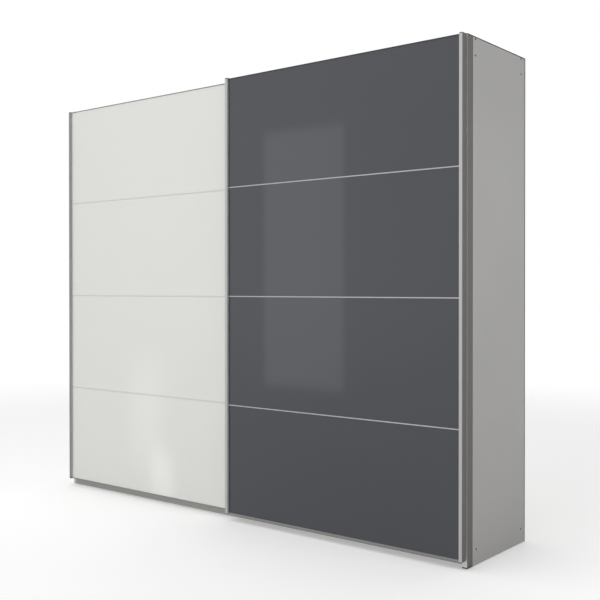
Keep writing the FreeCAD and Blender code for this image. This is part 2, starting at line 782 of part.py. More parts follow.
def rear_carriage(side, middle):
    """A flat steel bracket on the rear door's back, with its wheels behind it."""
    name = "rear_door_carriage_" + side
    x = (f"{middle} - carriage_length / 2", f"{middle} + carriage_length / 2")
    low = "lower_ledge + rear_carriage_lift"
    rear = "rear_door_back + carriage_plate"
    return joined(name, [
        block(name + "_plate", x, ("rear_door_back", rear), (low, f"{low} + rear_carriage_height")),
        *axles(name, middle, "lower_axle", rear),
    ])


def carriages():
    for door, make in (("front_door", front_carriage), ("rear_door", rear_carriage)):
        pair = [make(side, middle) for side, middle in carriage_spots(door).items()]
        node(together(door + "_carriages", pair), door + "_carriages")


def guide_shoes():
    """The shoes that keep the doors' feet in the guide rail: a tab, an arm and a nylon block."""
    chambers = {
        "front_door": ("front_shoe_level", "shoe_tab", "lower_chamber_floor", "chamber_split"),
        "rear_door": ("rear_shoe_level", "rear_shoe_tab", "chamber_split + guide_wall",
                      "plinth_height - guide_wall"),
    }
    block_front = "guide_front_inner + shoe_block_clearance * 2"
    for door, (level, tab, floor, roof) in chambers.items():
        shoes = []
        for side, middle in carriage_spots(door).items():
            name = f"{door}_shoe_{side}"
            x = (f"{middle} - shoe_length / 2", f"{middle} + shoe_length / 2")
            back = door + "_back"
            shoes.append(joined(name, [
                block(name + "_tab", x, (back, f"{back} + shoe_plate"), (level, f"{level} + {tab}")),
                block(name + "_arm", x, (back, block_front), (level, f"{level} + shoe_plate")),
                block(name + "_block", x, (block_front, f"{block_front} + shoe_block_depth"),
                      (f"{floor} + shoe_block_clearance", f"{roof} - shoe_block_clearance")),
            ]))
        node(together(door + "_guide_shoes", shoes), door + "_guide_shoes")


def wheel(door, number, x, level):
    """A grooved wheel, turned about its own axle line."""
    name = f"{door}_wheel_{number}"
    body = doc.addObject("PartDesign::Body", name)
    half = "wheel_width / 2"
    flare = "groove_half_width + groove_flare"
    outline = [
        ("axle_radius + axle_clearance", f"0 - {half}"), ("wheel_radius", f"0 - {half}"),
        ("wheel_radius", f"0 - ({flare})"), ("running_radius", "0 - groove_half_width"),
        ("running_radius", "groove_half_width"), ("wheel_radius", flare), ("wheel_radius", half),
        ("axle_radius + axle_clearance", half),
    ]
    sketch = sketch_on(body, "XY_Plane", [outline])
    turned = body.newObject("PartDesign::Revolution", name + "_turned")
    turned.Profile = sketch
    turned.ReferenceAxis = (sketch, ["V_Axis"])
    turned.Angle = 360
    for letter, place in (("x", x), ("y", "track_y"), ("z", level)):
        body.setExpression("Placement.Base." + letter, sized(place))
    node(body, name)


def wheels():
    for door, level in (("front_door", "upper_axle"), ("rear_door", "lower_axle")):
        for number, x in enumerate(wheel_spots(door), start=1):
            wheel(door, number, x, level)


def doors():
    for door in ("front_door", "rear_door"):
        for side in ("left", "right"):
            stile(door, side)
        for end in ("top", "bottom"):
            edge_profile(door, end)
        door_panels(door)


# ---------------------------------------------------------------- build and write

for side in ("left", "right"):
    side_panel(side)
middle_partition()
level_boards()
backs()
running_rail()
rail_end_plates()
end_stops()
guide_rail()
side_trim()
interior()
connector_bolts()
floor_glides()
doors()
carriages()
guide_shoes()
wheels()
doc.recompute()

failed = [item.Name for item in doc.Objects if {"Invalid", "Error"} & set(item.State)]
failed += [item.Label for item in nodes if item.Shape.isNull() or not item.Shape.isValid()]
if failed:
    raise RuntimeError(f"these objects failed: {failed}")

os.makedirs("parts", exist_ok=True)
for item in nodes:
    item.Shape.exportStep(f"parts/{item.Label}.step")
print(len(nodes), "parts written")
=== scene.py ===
import json
import math

import bpy
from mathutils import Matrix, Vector

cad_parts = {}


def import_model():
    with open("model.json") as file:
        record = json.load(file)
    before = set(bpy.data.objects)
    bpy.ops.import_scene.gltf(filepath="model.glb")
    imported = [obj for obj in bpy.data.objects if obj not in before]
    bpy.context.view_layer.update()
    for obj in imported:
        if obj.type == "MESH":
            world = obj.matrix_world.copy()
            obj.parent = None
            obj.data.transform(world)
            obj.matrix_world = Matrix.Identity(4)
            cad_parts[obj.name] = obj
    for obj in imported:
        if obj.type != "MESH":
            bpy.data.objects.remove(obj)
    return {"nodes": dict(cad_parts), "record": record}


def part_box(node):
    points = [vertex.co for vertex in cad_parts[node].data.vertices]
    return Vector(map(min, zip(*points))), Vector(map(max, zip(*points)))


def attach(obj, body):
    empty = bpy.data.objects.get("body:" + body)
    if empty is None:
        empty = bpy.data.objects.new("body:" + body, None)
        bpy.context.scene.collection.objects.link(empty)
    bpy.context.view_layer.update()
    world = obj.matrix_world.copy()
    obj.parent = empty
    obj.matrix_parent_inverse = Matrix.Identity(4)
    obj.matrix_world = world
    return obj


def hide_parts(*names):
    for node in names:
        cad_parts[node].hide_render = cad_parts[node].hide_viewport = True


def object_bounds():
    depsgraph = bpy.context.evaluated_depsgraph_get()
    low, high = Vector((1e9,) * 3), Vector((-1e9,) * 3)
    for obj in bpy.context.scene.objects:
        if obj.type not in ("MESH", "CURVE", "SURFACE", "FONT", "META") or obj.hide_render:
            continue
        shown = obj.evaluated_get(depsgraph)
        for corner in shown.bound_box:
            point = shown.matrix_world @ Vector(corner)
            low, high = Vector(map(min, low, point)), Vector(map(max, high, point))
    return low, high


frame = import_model()
CAD_BOX = [list(corner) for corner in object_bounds()]

MM = 0.001
CREASE = math.radians(30)          # edges sharper than this are broken and shaded sharp
HEAD_CREASE = math.radians(35)     # the same on screw heads
FACING = 0.98                      # how squarely a board's face has to point to count as an edge
POINTING = 0.9                     # how squarely a small part's face has to point to be shaped
LOW, HIGH = (Vector(corner) for corner in CAD_BOX)
NODES = frame["nodes"]
DOORS = ("front_door", "rear_door")
SIDES = ("left", "right")
FOUR = range(1, 5)                 # facing panels of a door, and back sheets
scene = bpy.context.scene


# ---------------------------------------------------------------- node helpers for materials

class Finish:
    """A node material under construction: a Principled shader and the nodes that feed it."""

    def __init__(self, name, **sockets):
        self.material = bpy.data.materials.new(name)
        self.material.use_nodes = True
        self.tree = self.material.node_tree
        self.shader = self.tree.nodes["Principled BSDF"]
        for socket, value in sockets.items():
            self.shader.inputs[socket.replace("_", " ")].default_value = value
        self.place = self.tree.nodes.new("ShaderNodeTexCoord").outputs["Object"]

    def join(self, output, node, socket):
        self.tree.links.new(output, node.inputs[socket])

    def stretched(self, scale):
        """Object coordinates scaled along each axis."""
        mapping = self.tree.nodes.new("ShaderNodeMapping")
        mapping.inputs["Scale"].default_value = scale
        self.join(self.place, mapping, "Vector")
        return mapping.outputs["Vector"]

    def noise(self, scale, detail=3.0, rough=0.55, stretch=(1, 1, 1)):
        noise = self.tree.nodes.new("ShaderNodeTexNoise")
        noise.inputs["Scale"].default_value = scale
        noise.inputs["Detail"].default_value = detail
        noise.inputs["Roughness"].default_value = rough
        self.join(self.stretched(stretch), noise, "Vector")
        return noise.outputs["Fac"]

    def ramp(self, factor, stops):
        """Colours along a factor: stops are (position, colour)."""
        ramp = self.tree.nodes.new("ShaderNodeValToRGB")
        points = ramp.color_ramp.elements
        points[0].position, points[0].color = stops[0][0], (*stops[0][1], 1)
        points[1].position, points[1].color = stops[-1][0], (*stops[-1][1], 1)
        for position, colour in stops[1:-1]:
            points.new(position).color = (*colour, 1)
        self.join(factor, ramp, "Fac")
        return ramp.outputs["Color"]

    def span(self, factor, low, high):
        """The noise's usual range, 0.3 to 0.7, carried to low to high."""
        remap = self.tree.nodes.new("ShaderNodeMapRange")
        for socket, value in (("From Min", 0.3), ("From Max", 0.7), ("To Min", low), ("To Max", high)):
            remap.inputs[socket].default_value = value
        self.join(factor, remap, "Value")
        return remap.outputs["Result"]

    def bump(self, heights):
        """Bumps laid over one another: heights are (factor, strength, distance)."""
        last = None
        for factor, strength, distance in heights:
            bump = self.tree.nodes.new("ShaderNodeBump")
            bump.inputs["Strength"].default_value = strength
            bump.inputs["Distance"].default_value = distance
            self.join(factor, bump, "Height")
            if last is not None:
                self.join(last, bump, "Normal")
            last = bump.outputs["Normal"]
        self.join(last, self.shader, "Normal")

    def colour(self, output):
        self.join(output, self.shader, "Base Color")

    def roughness(self, output):
        self.join(output, self.shader, "Roughness")


def tint(colour, factor):
    return tuple(channel * factor for channel in colour)


def faced_board(name, colour):
    """Melamine-faced board: a fine pearl texture under a matt, slightly mottled face."""
    finish = Finish(name, Specular_IOR_Level=0.4)
    cloud = finish.noise(1.6, 4)
    grain = finish.noise(900, 2)
    finish.colour(finish.ramp(cloud, [(0.3, tint(colour, 0.975)), (0.7, tint(colour, 1.02))]))
    finish.roughness(finish.span(grain, 0.36, 0.5))
    finish.bump([(grain, 0.10, 0.0004), (finish.noise(240, 2), 0.06, 0.0005)])
    return finish.material


def glossy_panel(name, colour, spread, roughness, under=0.5):
    """A polished facing: even colour, a hard clear coat and the faint wave of float glass.

    under is how strongly the layer below the coat reflects."""
    finish = Finish(name, Specular_IOR_Level=under, Coat_Weight=1.0, Coat_Roughness=0.015, Coat_IOR=1.5)
    cloud = finish.noise(0.9, 3)
    finish.colour(finish.ramp(cloud, [(0.3, tint(colour, 1 - spread)), (0.7, tint(colour, 1 + spread))]))
    finish.roughness(finish.span(finish.noise(60, 2), roughness, roughness + 0.04))
    finish.bump([(finish.noise(2.2, 1), 0.02, 0.002), (finish.noise(500, 2), 0.015, 0.0002)])
    return finish.material


def brushed_metal(name, colour, along, roughness, metallic):
    """Anodised aluminium with drawing lines along one axis."""
    axis = "xyz".index(along)
    fine, broad = [700] * 3, [90] * 3
    fine[axis], broad[axis] = 6, 1.5
    finish = Finish(name, Metallic=metallic, Specular_IOR_Level=0.5)
    lines = finish.noise(1, 3, stretch=fine)
    bands = finish.noise(1, 3, stretch=broad)
    finish.colour(finish.ramp(bands, [(0.25, tint(colour, 0.94)), (0.75, tint(colour, 1.04))]))
    finish.roughness(finish.span(lines, roughness, roughness + 0.12))
    finish.bump([(lines, 0.12, 0.0002), (bands, 0.05, 0.0003)])
    return finish.material


def moulded(name, colour, roughness=0.55):
    """Moulded plastic with a fine spark-eroded grain."""
    finish = Finish(name, Specular_IOR_Level=0.4)
    finish.colour(finish.ramp(finish.noise(30, 3), [(0.3, tint(colour, 0.94)), (0.7, tint(colour, 1.05))]))
    grain = finish.noise(1400, 3)
    finish.roughness(finish.span(grain, roughness, roughness + 0.15))
    finish.bump([(grain, 0.25, 0.0002)])
    return finish.material


def pressed_fibre(name, colour, speck):
    """Hardboard or particle board: short flecks of lighter and darker fibre."""
    finish = Finish(name, Specular_IOR_Level=0.25)
    fleck = finish.noise(160, 6, 0.7, (1, 1, 0.35))
    finish.colour(finish.ramp(fleck, [(0.32, tint(colour, 1 - speck)), (0.5, colour),
                                      (0.68, tint(colour, 1 + speck))]))
    finish.roughness(finish.span(fleck, 0.6, 0.8))
    finish.bump([(fleck, 0.2, 0.0004)])
    return finish.material


def plated(name, colour, roughness):
    """Zinc-plated steel, slightly clouded."""
    finish = Finish(name, Metallic=1.0)
    finish.colour(finish.ramp(finish.noise(45, 4), [(0.3, tint(colour, 0.9)), (0.7, tint(colour, 1.05))]))
    finish.roughness(finish.span(finish.noise(120, 4), roughness, roughness + 0.15))
    finish.bump([(finish.noise(300, 3), 0.1, 0.0002)])
    return finish.material


def pile(name, colour):
    """The nylon pile of a dust brush."""
    finish = Finish(name, Specular_IOR_Level=0.2, Sheen_Weight=0.3)
    fibre = finish.noise(1, 4, stretch=(2600, 500, 2600))
    finish.colour(finish.ramp(fibre, [(0.3, tint(colour, 0.7)), (0.7, tint(colour, 1.25))]))
    finish.roughness(finish.span(fibre, 0.75, 0.95))
    finish.bump([(fibre, 0.4, 0.0006)])
    return finish.material


PEARL = (0.505, 0.500, 0.487)
FINISHES = {
    "carcass_white": faced_board("pearl_faced_board", PEARL),
    "back_board": pressed_fibre("lacquered_hardboard", (0.60, 0.59, 0.56), 0.06),
    "aluminium_bright": brushed_metal("stile_face_anodised", (0.63, 0.63, 0.62), "z", 0.40, 0.75),
    "aluminium_grey": brushed_metal("rail_anodised", (0.42, 0.415, 0.40), "x", 0.42, 0.5),
    "glass_grey": glossy_panel("back_painted_grey_glass", (0.0545, 0.0590, 0.0700), 0.03, 0.10, under=0.15),
    "panel_white": glossy_panel("white_facing", (0.772, 0.778, 0.747), 0.006, 0.22),
    "backing": pressed_fibre("foiled_backing_board", (0.56, 0.55, 0.52), 0.05),
    "steel": plated("zinc_plated_steel", (0.62, 0.62, 0.63), 0.28),
    "wheel_plastic": moulded("nylon_wheel", (0.78, 0.78, 0.75), 0.35),
    "plastic_grey": moulded("grey_plastic", (0.075, 0.072, 0.069)),
    "plastic_white": moulded("white_plastic", (0.74, 0.74, 0.72)),
    "rubber_dark": moulded("buffer_rubber", (0.035, 0.035, 0.035), 0.7),
}
# Painted shade: the profiles' side faces get their aluminium darkened, as they turn away from the light.
FLANK_PAINTED_SHADE = brushed_metal("profile_flank_painted_shade", (0.255, 0.249, 0.240), "z", 0.45, 0.3)
# Painted shade: the rear door's stiles are the same aluminium darkened, as they stand behind the front door.
STILE_REAR_PAINTED_SHADE = brushed_metal("stile_rear_painted_shade", (0.33, 0.325, 0.315), "z", 0.45, 0.5)
# Painted light: the stiles' inner walls are lightened against the shade in their recess.
WALL_REAR_PAINTED_LIGHT = brushed_metal("stile_rear_wall_painted_light", (0.60, 0.595, 0.58), "z", 0.45, 0.5)
WALL_FRONT_PAINTED_LIGHT = brushed_metal("stile_front_wall_painted_light", (0.85, 0.85, 0.84), "z", 0.45, 0.25)
LIP = brushed_metal("bottom_lip_anodised", (0.34, 0.335, 0.325), "x", 0.42, 0.5)
# Painted shade: the front door's top profile is its aluminium darkened to near black, as the shade along the
# door's top edge.
EDGE_PAINTED_SHADE = brushed_metal("top_profile_painted_shade", (0.060, 0.060, 0.062), "x", 0.45, 0.3)
EDGE_PALE = brushed_metal("top_profile_pale", (0.29, 0.29, 0.28), "x", 0.45, 0.4)
DIVIDER = brushed_metal("divider_anodised", (0.56, 0.56, 0.55), "x", 0.42, 0.5)
DIVIDER_PALE = brushed_metal("divider_pale", (0.66, 0.665, 0.64), "x", 0.45, 0.15)
# Painted light: the trim's face is lightened against the shade that the doors cast on it.
TRIM_FACE_PAINTED_LIGHT = brushed_metal("trim_face_painted_light", (0.74, 0.735, 0.72), "z", 0.42, 0.5)
BRUSH = pile("brush_pile", (0.16, 0.155, 0.15))
RAW_EDGE = pressed_fibre("particle_board_edge", (0.45, 0.36, 0.25), 0.35)
EDGE_BAND = moulded("edge_band", (0.60, 0.595, 0.58), 0.5)
# A thin dark line along the side panels' top and rear edges.
EDGE_LINE = moulded("side_edge_dark_line", (0.030, 0.028, 0.026), 0.6)
BLACKENED = plated("blackened_steel", (0.055, 0.054, 0.052), 0.42)
RACE = plated("bearing_race", (0.50, 0.50, 0.51), 0.22)


# ---------------------------------------------------------------- mesh helpers

SLOT_OF = {entry["node"]: entry["material_slot"] for entry in frame["record"]["subparts"]}
BODY_OF = {node: body for body, members in frame["record"]["behaviour"]["bodies"].items()
           for node in members}
TURN_TO = {
    (0, 0, 1): (0, 0, 0),
    (0, 0, -1): (math.pi, 0, 0),
    (0, 1, 0): (-math.pi / 2, 0, 0),
    (0, -1, 0): (math.pi / 2, 0, 0),
    (1, 0, 0): (0, math.pi / 2, 0),
    (-1, 0, 0): (0, -math.pi / 2, 0),
}


def alone(piece):
    """Only this piece is selected and active."""
    bpy.ops.object.select_all(action="DESELECT")
    piece.select_set(True)
    bpy.context.view_layer.objects.active = piece


def settle(piece, turn=(0, 0, 0), place=(0, 0, 0)):
    """Turns and places a piece, and keeps that in its mesh."""
    alone(piece)
    piece.rotation_euler = turn
    piece.location = place
    bpy.ops.object.transform_apply(location=True, rotation=True, scale=True)


def select_faces(piece, chosen):
    """Edit mode with the faces that chosen(middle, normal) picks, and nothing else."""
    alone(piece)
    bpy.ops.object.mode_set(mode="EDIT")
    bpy.ops.mesh.select_mode(type="FACE")
    bpy.ops.mesh.select_all(action="DESELECT")
    bpy.ops.object.mode_set(mode="OBJECT")
    for face in piece.data.polygons:
        face.select = bool(chosen(face.center, face.normal))
    bpy.ops.object.mode_set(mode="EDIT")


def object_mode():
    bpy.ops.object.mode_set(mode="OBJECT")


def apply_modifier(piece, kind, **settings):
    alone(piece)
    modifier = piece.modifiers.new(kind.lower(), kind)
    for name, value in settings.items():
        setattr(modifier, name, value)
    bpy.ops.object.modifier_apply(modifier=modifier.name)


def soften(piece, width):
    """Broken edges, as a real piece has."""
    apply_modifier(piece, "BEVEL", width=width, segments=2, limit_method="ANGLE",
                   angle_limit=CREASE)
    bpy.ops.object.shade_smooth_by_angle(angle=CREASE)
    apply_modifier(piece, "WEIGHTED_NORMAL", weight=100, keep_sharp=True)


def copied(source, name):
    piece = source.copy()
    piece.data = source.data.copy()
    piece.name = name
    scene.collection.objects.link(piece)
    return piece


def join(name, pieces):
    """One piece out of several."""
    bpy.ops.object.select_all(action="DESELECT")
    for piece in pieces:
        piece.select_set(True)
    bpy.context.view_layer.objects.active = pieces[0]
    bpy.ops.object.join()
    pieces[0].name = name
    return pieces[0]


def dress(piece, material):
    """Gives a piece one material all over."""
    piece.data.materials.clear()
    piece.data.materials.append(material)


def dress_faces(piece, material, chosen):
    """Gives the faces that chosen(middle, normal) picks another material."""
    piece.data.materials.append(material)
    index = len(piece.data.materials) - 1
    for face in piece.data.polygons:
        if chosen(face.center, face.normal):
            face.material_index = index


def fitted(piece, body, stands_for=None):
    """Hands a finished piece over to the frame."""
    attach(piece, body)
    if stands_for:
        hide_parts(stands_for)
    return piece


def merged_copy(node, name):
    """A CAD node's shape, merged and free of its needless edges."""
    source = NODES[node]
    piece = copied(source, name)
    for mark in [key for key in piece.keys() if key.startswith("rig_")]:
        del piece[mark]
    piece.parent = None
    alone(piece)
    bpy.ops.object.mode_set(mode="EDIT")
    bpy.ops.mesh.select_all(action="SELECT")
    bpy.ops.mesh.remove_doubles(threshold=0.01 * MM)
    bpy.ops.mesh.dissolve_limited(angle_limit=math.radians(0.5))
    object_mode()
    return piece


def finished(node, width, material=None):
    """A CAD node's shape with its edges broken, standing for that node."""
    piece = merged_copy(node, node + "_finished")
    slot = SLOT_OF[node]
    dress(piece, material or FINISHES[slot])
    soften(piece, width)
    return fitted(piece, BODY_OF[node], node)


def slab(name, low, high):
    """A block between two corners, as the start of a piece."""
    low, high = Vector(low), Vector(high)
    bpy.ops.object.select_all(action="DESELECT")
    bpy.ops.mesh.primitive_cube_add(size=1, location=(low + high) / 2, scale=high - low)
    piece = bpy.context.object
    piece.name = name
    bpy.ops.object.transform_apply(location=True, rotation=True, scale=True)
    return piece


def barrel(name, radius, length, corners=28):
    """A round start that stands on the origin and points up."""
    bpy.ops.object.select_all(action="DESELECT")
    bpy.ops.mesh.primitive_cylinder_add(vertices=corners, radius=radius, depth=length,
                                        location=(0, 0, length / 2))
    piece = bpy.context.object
    piece.name = name
    bpy.ops.object.transform_apply(location=True, rotation=True, scale=True)
    return piece


def socket_head(name, radius, height, key, sink):
    """A low domed head with a six-sided socket, standing on the origin."""
    piece = barrel(name, radius, height)
    select_faces(piece, lambda middle, normal: normal.z > POINTING)
    bpy.ops.mesh.inset(thickness=radius * 0.22, depth=0)
    bpy.ops.transform.translate(value=(0, 0, height * 0.28))
    object_mode()
    cutter = barrel(name + "_key", key, height * 2, 6)
    settle(cutter, place=(0, 0, height * 1.28 - sink))
    apply_modifier(piece, "BOOLEAN", operation="DIFFERENCE", object=cutter, solver="EXACT")
    bpy.data.objects.remove(cutter)
    apply_modifier(piece, "BEVEL", width=radius * 0.05, segments=1, limit_method="ANGLE",
                   angle_limit=HEAD_CREASE)
    alone(piece)
    bpy.ops.object.shade_smooth_by_angle(angle=HEAD_CREASE)
    return piece


def spread(name, model, spots, facing, body, slot, material):
    """Copies of one small model at many spots, all facing one way, as one piece."""
    copies = []
    for number, spot in enumerate(spots):
        copy = copied(model, f"{name}_{number}")
        settle(copy, TURN_TO[facing], spot)
        copies.append(copy)
    piece = join(name, copies)
    dress(piece, material)
    return fitted(piece, body)


def discard(piece):
    bpy.data.objects.remove(piece)


# ---------------------------------------------------------------- boards

TOP_LINE, REAR_LINE = 4.5 * MM, 7.0 * MM


def edge_line(piece, node):
    """A thin dark line on a side's outer face, along the top and the rear."""
    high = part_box(node)[1]
    outward = -1 if node.endswith("left") else 1
    top, rear = high.z - TOP_LINE, high.y - REAR_LINE
    for place, across in (((0, 0, top), (0, 0, 1)), ((0, rear, 0), (0, 1, 0))):
        select_faces(piece, lambda middle, normal: True)
        bpy.ops.mesh.bisect(plane_co=place, plane_no=across)
        object_mode()
    dress_faces(piece, EDGE_LINE, lambda middle, normal: (
        normal.x * outward > 0.2 and (middle.z > top or middle.y > rear)))


def boards():
    """Faced boards: banded where they show, raw where the back or the floor hides them."""
    for node in NODES:
        if SLOT_OF[node] != "carcass_white":
            continue
        upright = node.startswith(("side_panel", "middle"))
        piece = finished(node, 0.5 * MM)
        dress_faces(piece, EDGE_BAND, lambda middle, normal: (
            normal.y < -FACING or upright and normal.z > FACING))
        dress_faces(piece, RAW_EDGE, lambda middle, normal: (
            normal.y > FACING or upright and normal.z < -FACING))
        if node.startswith("side_panel"):
            edge_line(piece, node)


# ---------------------------------------------------------------- doors

def flank(middle, normal):
    return abs(normal.x) > abs(normal.y) and abs(normal.x) > abs(normal.z)


PLUG_FOOT = 1.5 * MM                                           # how far a stile's lower plug stands out
PLUG_HEAD = {"front_door": 3.5 * MM, "rear_door": 1.5 * MM}    # and its upper one
PLUG_MARGIN = 0.6 * MM


def stiles():
    """Grip profiles: a light drawn face, inner walls lightened as painted light, outer flanks darkened as
    painted shade, and a dark plug in each end. The rear door's stiles are darkened all over as painted
    shade.
    """
    for door in DOORS:
        for side in SIDES:
            node = f"{door}_stile_{side}"
            shaded = door == "rear_door"
            inward = 1 if side == "left" else -1
            piece = finished(node, 1.0 * MM, STILE_REAR_PAINTED_SHADE if shaded else None)
            dress_faces(piece, WALL_REAR_PAINTED_LIGHT if shaded else WALL_FRONT_PAINTED_LIGHT,
                        lambda middle, normal: flank(middle, normal) and normal.x * inward > 0)
            if not shaded:
                dress_faces(piece, FLANK_PAINTED_SHADE,
                            lambda middle, normal: flank(middle, normal) and normal.x * inward < 0)
            low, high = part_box(node)
            plugs = []
            for end, foot, head in (("top", high.z, high.z + PLUG_HEAD[door]),
                                    ("foot", low.z - PLUG_FOOT, low.z)):
                plug = slab(f"{node}_{end}_plug", (low.x + PLUG_MARGIN, low.y + PLUG_MARGIN, foot),
                            (high.x - PLUG_MARGIN, high.y - PLUG_MARGIN, head))
                lid = 1 if end == "top" else -1
                select_faces(plug, lambda middle, normal: normal.z * lid > POINTING)
                bpy.ops.mesh.inset(thickness=2.2 * MM, depth=-0.5 * MM)
                object_mode()
                plugs.append(plug)
            pair = join(f"{node}_end_plugs", plugs)
            dress(pair, FINISHES["plastic_grey"])
            soften(pair, 0.5 * MM)
            fitted(pair, BODY_OF[node])


def cross_profiles():
    """Top and bottom profiles, and the dividers between the panels."""
    # The front door's top profile is darkened as painted shade.
    for door, top, divider in (("front_door", EDGE_PAINTED_SHADE, DIVIDER), ("rear_door", EDGE_PALE, DIVIDER_PALE)):
        finished(door + "_top_profile", 0.3 * MM, top)
        finished(door + "_bottom_profile", 0.3 * MM, LIP)
        finished(door + "_dividers", 0.3 * MM, divider)


def facings():
    """Facing panels with a polished arris, and the board they are glued to."""
    for door in DOORS:
        for number in FOUR:
            finished(f"{door}_panel_{number}", 0.5 * MM)
        finished(door + "_backing_board", 0.4 * MM)


def dust_brush():
    """A brush on the rear of the front door's left stile, where the two doors overlap."""
    low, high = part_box("front_door_stile_left")
    carrier = slab("dust_brush_carrier", (low.x + 4 * MM, high.y, low.z + 30 * MM),
                   (low.x + 12 * MM, high.y + 2.5 * MM, high.z - 90 * MM))
    select_faces(carrier, lambda middle, normal: normal.y > POINTING)
    bpy.ops.mesh.inset(thickness=2.2 * MM, depth=-1.0 * MM)
    object_mode()
    # The carrier wears the flanks' darkened aluminium, a painted shade.
    dress(carrier, FLANK_PAINTED_SHADE)
    soften(carrier, 0.4 * MM)
    fitted(carrier, "front_door")
    tuft = slab("dust_brush_pile", (low.x + 6.4 * MM, high.y + 1.4 * MM, low.z + 33 * MM),
                (low.x + 9.6 * MM, high.y + 11.5 * MM, high.z - 93 * MM))
    select_faces(tuft, lambda middle, normal: normal.y > POINTING)
    bpy.ops.transform.resize(value=(0.55, 1, 1))
    object_mode()
    dress(tuft, BRUSH)
    soften(tuft, 0.5 * MM)
    fitted(tuft, "front_door")


# ---------------------------------------------------------------- running gear

def wheels():
    """Grooved nylon wheels with a ball race pressed into the hub."""
    for node in NODES:
        if "_wheel_" not in node:
            continue
        finished(node, 0.35 * MM)
        low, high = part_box(node)
        middle = (low + high) / 2
        rings = []
        for face, outward in ((high.y, 1), (low.y, -1)):
            ring = barrel(node + "_race", 9 * MM, 0.5 * MM, 36)
            select_faces(ring, lambda centre, normal: normal.z > POINTING)
            bpy.ops.mesh.inset(thickness=1.6 * MM, depth=0)
            bpy.ops.mesh.inset(thickness=2.2 * MM, depth=-0.35 * MM)
            bpy.ops.mesh.inset(thickness=0.2 * MM, depth=0.3 * MM)
            bpy.ops.mesh.inset(thickness=1.75 * MM, depth=0)
            bpy.ops.mesh.delete(type="FACE")
            object_mode()
            select_faces(ring, lambda centre, normal: normal.z < -POINTING)
            bpy.ops.mesh.delete(type="FACE")
            object_mode()
            settle(ring, TURN_TO[(0, outward, 0)], (middle.x, face, middle.z))
            rings.append(ring)
        pair = join(node + "_races", rings)
        dress(pair, RACE)
        alone(pair)
        bpy.ops.object.shade_smooth_by_angle(angle=CREASE)
        fitted(pair, node)


CARRIAGE_INSET = 90 * MM           # from a door's edge to the middle of its carriage and guide shoe
CARRIAGE_PLATE, SHOE_TAB = 4 * MM, 3 * MM                                # how far they stand behind the door
CARRIAGE_SCREWS = {"front_door": (2.235, 0.040), "rear_door": (2.231, 0.050)}        # level and spacing
SHOE_LEVEL = {"front_door": 0.062, "rear_door": 0.068}
SHOE_SCREW_OFFSET = 0.018
RAIL_SCREWS, RAIL_SCREW_INSET = 10, 0.1
SADDLE_WALLS = ((-1.330, 1), (-0.014, -1), (0.014, 1), (1.330, -1))      # place and the way it faces


def fixings():
    """Screws on the carriages, the guide shoes, the running rail and the hanging rails' saddles."""
    pan = socket_head("pan_head", 3.6 * MM, 1.6 * MM, 1.5 * MM, 1.2 * MM)
    steel = FINISHES["steel"]
    for door in DOORS:
        low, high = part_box(door + "_stile_left")
        middles = (low.x + CARRIAGE_INSET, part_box(door + "_stile_right")[1].x - CARRIAGE_INSET)
        level, spacing = CARRIAGE_SCREWS[door]
        spots = [(middle + offset * spacing, high.y + CARRIAGE_PLATE, level)
                 for middle in middles for offset in (-1, 0, 1)]
        spread(door + "_carriage_screws", pan, spots, (0, 1, 0), door, "steel", steel)
        spots = [(middle + offset, high.y + SHOE_TAB, SHOE_LEVEL[door])
                 for middle in middles for offset in (-SHOE_SCREW_OFFSET, SHOE_SCREW_OFFSET)]
        spread(door + "_shoe_screws", pan, spots, (0, 1, 0), door, "steel", steel)
    low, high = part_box("running_rail")
    step = (high.x - low.x - 2 * RAIL_SCREW_INSET) / (RAIL_SCREWS - 1)
    spots = [(low.x + RAIL_SCREW_INSET + step * number, high.y - 3 * MM, HIGH.z - 11 * MM)
             for number in range(RAIL_SCREWS)]
    spread("running_rail_screws", pan, spots, (0, -1, 0), "carcass", "steel", steel)
    low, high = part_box("hanging_rail_left")
    depth = (low.y + high.y) / 2
    for wall, facing in SADDLE_WALLS:
        spots = [(wall, depth, low.z - 5.5 * MM), (wall, depth, high.z + 7 * MM)]
        name = f"saddle_screws_{'left' if wall < 0 else 'right'}_{'m1' if facing < 0 else '1'}"
        spread(name, pan, spots, (facing, 0, 0), "carcass", "steel", steel)
    discard(pan)


BOLT_SPOTS = ((-0.198, 2.289), (-0.198, 2.218), (0.262, 2.289), (0.262, 2.218),
              (-0.186, 0.071), (0.262, 0.071))                           # depth and level on a side
BOLT_SEAT, SHANK_SEAT = 2.2 * MM, 2.3 * MM                               # how deep in the side each starts


def connector_bolts():
    """Blackened connector bolts with a six-sided socket, sunk in the outer faces of the sides."""
    low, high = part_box("connector_bolts")
    model = socket_head("connector_bolt", 4.75 * MM, 1.7 * MM, 2.3 * MM, 2.0 * MM)
    heads = []
    for face, outward in ((low.x, -1), (high.x, 1)):
        for number, (depth, level) in enumerate(BOLT_SPOTS):
            copy = copied(model, f"connector_bolt_{outward}_{number}")
            settle(copy, TURN_TO[(outward, 0, 0)], (face - outward * BOLT_SEAT, depth, level))
            shank = barrel("connector_shank", 2.5 * MM, 42 * MM, 20)
            select_faces(shank, lambda middle, normal: normal.z > POINTING)
            bpy.ops.transform.resize(value=(0.6, 0.6, 1))
            object_mode()
            settle(shank, TURN_TO[(-outward, 0, 0)], (face - outward * SHANK_SEAT, depth, level))
            heads += [copy, shank]
    piece = join("connector_bolts_turned", heads)
    dress(piece, BLACKENED)
    fitted(piece, "carcass", "connector_bolts")
    discard(model)


NAILS_IN_ROW, NAIL_INSET = 5, 0.045
NAIL_LEVELS = (0.071, 2.289)


